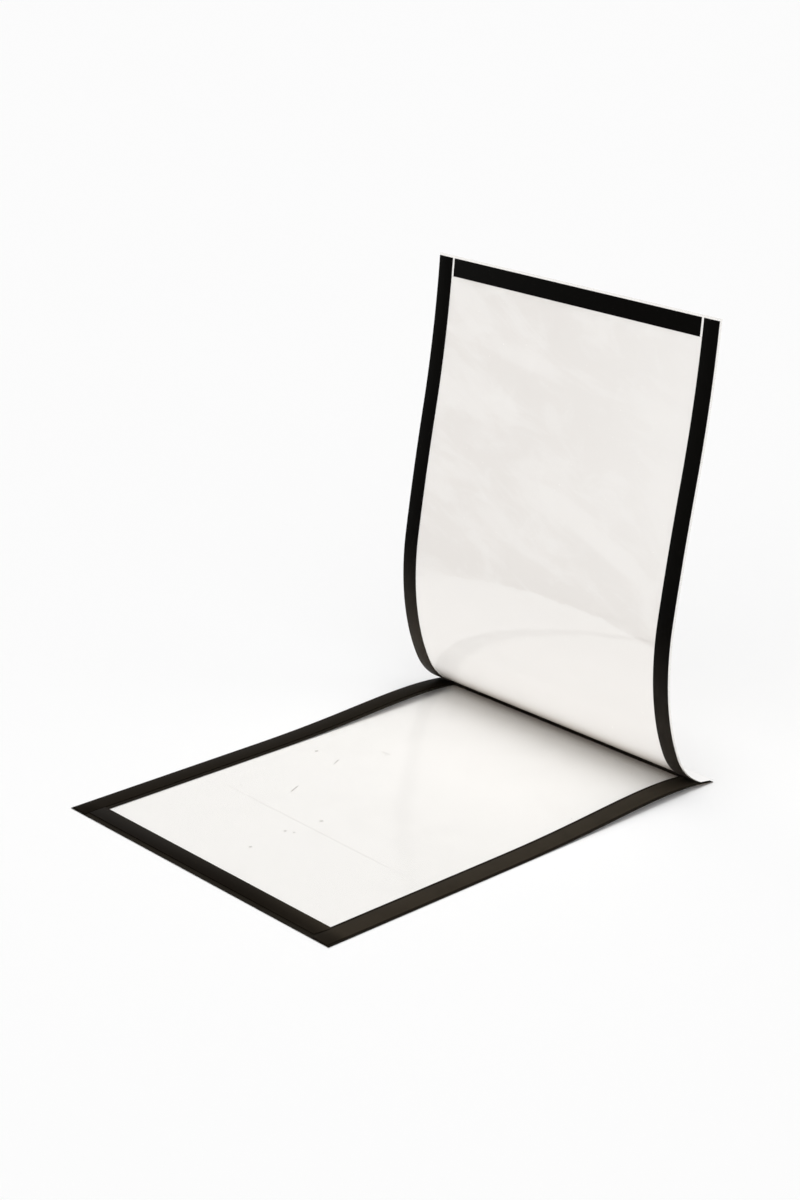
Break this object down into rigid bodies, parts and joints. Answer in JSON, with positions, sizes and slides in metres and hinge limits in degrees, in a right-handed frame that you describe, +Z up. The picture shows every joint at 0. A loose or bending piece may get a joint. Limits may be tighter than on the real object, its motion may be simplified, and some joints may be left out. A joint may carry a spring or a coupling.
{
  "type": "magnetic sign frame",
  "caption": "Flexible magnetic sign frame for an A4 sheet, lying open: two glossy film leaves edged with black magnet strips, joined along one short edge.",
  "frame": {"origin": "middle of the base leaf's outline, on the surface that the base lies on", "axes": "+Z up, +Y from the near short edge towards the bonded hinge edge, +X to the right seen from the near edge"},
  "size_m": [0.22, 0.31, 0.2861],
  "materials": {
    "clear_film": "clear glossy film",
    "milky_film": "milky glossy film",
    "black_border": "matt warm black layer",
    "magnet_strip": "semi-gloss black magnetic rubber",
    "bonding_tape": "matt double-sided tape"
  },
  "bodies": {
    "base": {"base_film": "clear_film", "base_border": "black_border", "base_near_strip": "magnet_strip", "base_left_strip": "magnet_strip", "base_right_strip": "magnet_strip", "base_far_strip": "magnet_strip", "hinge_tape": "bonding_tape", "cover_hinge_flap": "milky_film"},
    "cover_01": {"cover_film_01": "milky_film", "cover_left_strip_01": "magnet_strip", "cover_right_strip_01": "magnet_strip"},
    "cover_02": {"cover_film_02": "milky_film", "cover_left_strip_02": "magnet_strip", "cover_right_strip_02": "magnet_strip"},
    "cover_03": {"cover_film_03": "milky_film", "cover_left_strip_03": "magnet_strip", "cover_right_strip_03": "magnet_strip"},
    "cover_04": {"cover_film_04": "milky_film", "cover_left_strip_04": "magnet_strip", "cover_right_strip_04": "magnet_strip"},
    "cover_05": {"cover_film_05": "milky_film", "cover_left_strip_05": "magnet_strip", "cover_right_strip_05": "magnet_strip"},
    "cover_06": {"cover_film_06": "milky_film", "cover_left_strip_06": "magnet_strip", "cover_right_strip_06": "magnet_strip", "cover_top_strip": "magnet_strip"}
  },
  "joints": [
    {"name": "cover_fold", "type": "hinge", "parent": "base", "child": "cover_01", "pos_m": [0, 0.143, 0.00376], "axis": [-1, 0, 0], "range_deg": [-29.04, 20.3]},
    {"name": "cover_bend_02", "type": "hinge", "parent": "cover_01", "child": "cover_02", "pos_m": [0, 0.12166, 0.02401], "axis": [-1, 0, 0], "range_deg": [-41.21, 30.29]},
    {"name": "cover_bend_03", "type": "hinge", "parent": "cover_02", "child": "cover_03", "pos_m": [0, 0.11261, 0.04727], "axis": [-1, 0, 0], "range_deg": [-16.74, 12.3]},
    {"name": "cover_bend_04", "type": "hinge", "parent": "cover_03", "child": "cover_04", "pos_m": [0, 0.10746, 0.07678], "axis": [-1, 0, 0], "range_deg": [-13.07, 9.6]},
    {"name": "cover_bend_05", "type": "hinge", "parent": "cover_04", "child": "cover_05", "pos_m": [0, 0.10838, 0.11171], "axis": [-1, 0, 0], "range_deg": [-5.89, 4.33]},
    {"name": "cover_bend_06", "type": "hinge", "parent": "cover_05", "child": "cover_06", "pos_m": [0, 0.12041, 0.19079], "axis": [-1, 0, 0], "range_deg": [-2.13, 2.9]}
  ],
  "couplings": [
    {"joint": "cover_bend_02", "follows": "cover_fold", "ratio": 1.2492},
    {"joint": "cover_bend_03", "follows": "cover_fold", "ratio": 0.50735},
    {"joint": "cover_bend_04", "follows": "cover_fold", "ratio": 0.39609},
    {"joint": "cover_bend_05", "follows": "cover_fold", "ratio": 0.17859},
    {"joint": "cover_bend_06", "follows": "cover_fold", "ratio": -0.08798}
  ]
}
